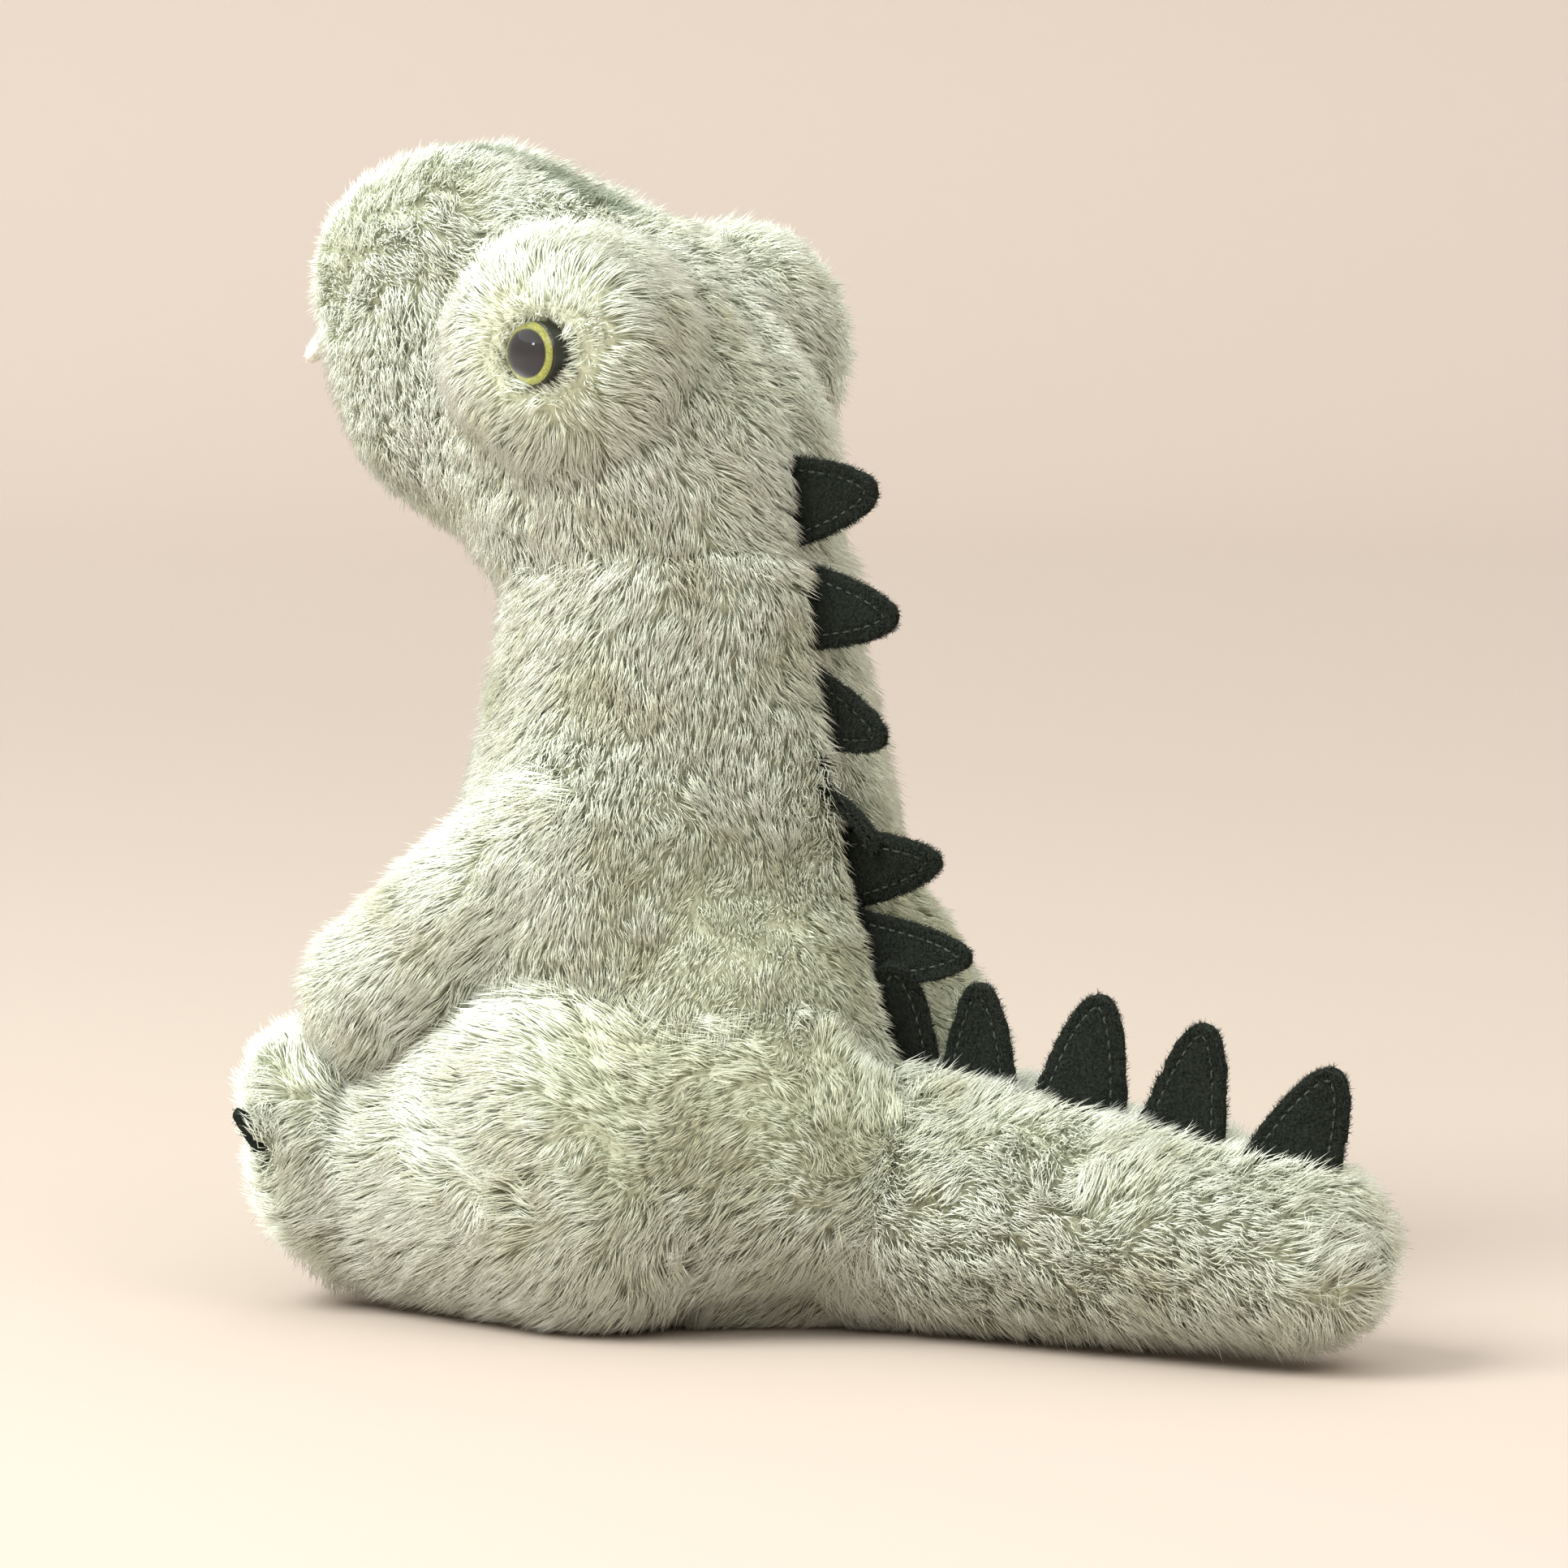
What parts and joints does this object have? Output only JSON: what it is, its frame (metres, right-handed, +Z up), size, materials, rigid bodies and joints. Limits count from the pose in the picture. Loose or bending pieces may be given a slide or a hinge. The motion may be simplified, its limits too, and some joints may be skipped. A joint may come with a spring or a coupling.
{
  "type": "stuffed dinosaur",
  "caption": "Sitting long-pile plush dinosaur with bulging eye domes, stuffed limbs, a thick tail and a row of felt back plates.",
  "frame": {"origin": "on the surface that the toy sits on, in the mid-plane, under the middle of the torso", "axes": "+Z up, the toy faces -Y, its left side is +X, the tail runs along +Y"},
  "size_m": [0.1594, 0.303, 0.2885],
  "materials": {
    "plush_body": "long soft pile, sage green with darker and beige tips",
    "plush_head": "long soft pile, pale sage green",
    "plush_limb": "long soft pile, sage green",
    "plush_crown": "soft pile, darker green",
    "dark_felt": "two layers of dark green felt with a stitched edge",
    "claw_felt": "dark green felt",
    "white_felt": "white felt",
    "eye_plastic": "domed and polished, dark pupil in a yellow-green ring",
    "washer_plastic": "moulded lock washer",
    "fibre_fill": "loose white polyester fibre",
    "pouch_cloth": "plain woven cloth",
    "pellets": "small plastic pellets"
  },
  "bodies": {
    "torso": {"torso_cover_left": "plush_body", "torso_cover_right": "plush_body", "torso_stuffing": "fibre_fill", "seat_panel": "plush_body", "pellet_pouch": "pouch_cloth", "pellet_fill": "pellets", "back_plate_01": "dark_felt", "back_plate_02": "dark_felt", "back_plate_03": "dark_felt", "back_plate_04": "dark_felt", "back_plate_05": "dark_felt", "back_plate_06": "dark_felt", "back_plate_07": "dark_felt"},
    "head": {"head_cover_left": "plush_head", "head_cover_right": "plush_head", "crown_gusset": "plush_crown", "head_stuffing": "fibre_fill", "eye_left": "eye_plastic", "eye_right": "eye_plastic", "eye_washer_left": "washer_plastic", "eye_washer_right": "washer_plastic", "tooth_left": "white_felt", "tooth_right": "white_felt"},
    "tail": {"tail_cover_left": "plush_body", "tail_cover_right": "plush_body", "tail_stuffing": "fibre_fill", "back_plate_08": "dark_felt", "back_plate_09": "dark_felt", "back_plate_10": "dark_felt", "back_plate_11": "dark_felt"},
    "arm_left": {"arm_cover_left": "plush_limb", "arm_stuffing_left": "fibre_fill"},
    "leg_left": {"leg_cover_left": "plush_limb", "foot_cover_left": "plush_limb", "leg_stuffing_left": "fibre_fill", "toe_claws_left": "claw_felt"},
    "arm_right": {"arm_cover_right": "plush_limb", "arm_stuffing_right": "fibre_fill"},
    "leg_right": {"leg_cover_right": "plush_limb", "foot_cover_right": "plush_limb", "leg_stuffing_right": "fibre_fill", "toe_claws_right": "claw_felt"}
  },
  "joints": [
    {"name": "head_nod", "type": "hinge", "parent": "torso", "child": "head", "pos_m": [0, 0.01, 0.15], "axis": [1, 0, 0], "range_deg": [-12, 12], "stiffness_Nm_per_rad": 0.9},
    {"name": "tail_wag", "type": "hinge", "parent": "torso", "child": "tail", "pos_m": [0, 0.052, 0.033], "axis": [0, 0, 1], "range_deg": [-18, 18], "stiffness_Nm_per_rad": 0.25},
    {"name": "arm_left_lift", "type": "hinge", "parent": "torso", "child": "arm_left", "pos_m": [0.044, -0.004, 0.122], "axis": [0, -1, 0], "range_deg": [0, 35], "stiffness_Nm_per_rad": 0.06},
    {"name": "leg_left_splay", "type": "hinge", "parent": "torso", "child": "leg_left", "pos_m": [0.03, 0.044, 0.042], "axis": [0, 0, 1], "range_deg": [0, 12], "stiffness_Nm_per_rad": 0.2},
    {"name": "arm_right_lift", "type": "hinge", "parent": "torso", "child": "arm_right", "pos_m": [-0.044, -0.004, 0.122], "axis": [0, 1, 0], "range_deg": [0, 35], "stiffness_Nm_per_rad": 0.06},
    {"name": "leg_right_splay", "type": "hinge", "parent": "torso", "child": "leg_right", "pos_m": [-0.03, 0.044, 0.042], "axis": [0, 0, -1], "range_deg": [0, 12], "stiffness_Nm_per_rad": 0.2}
  ]
}
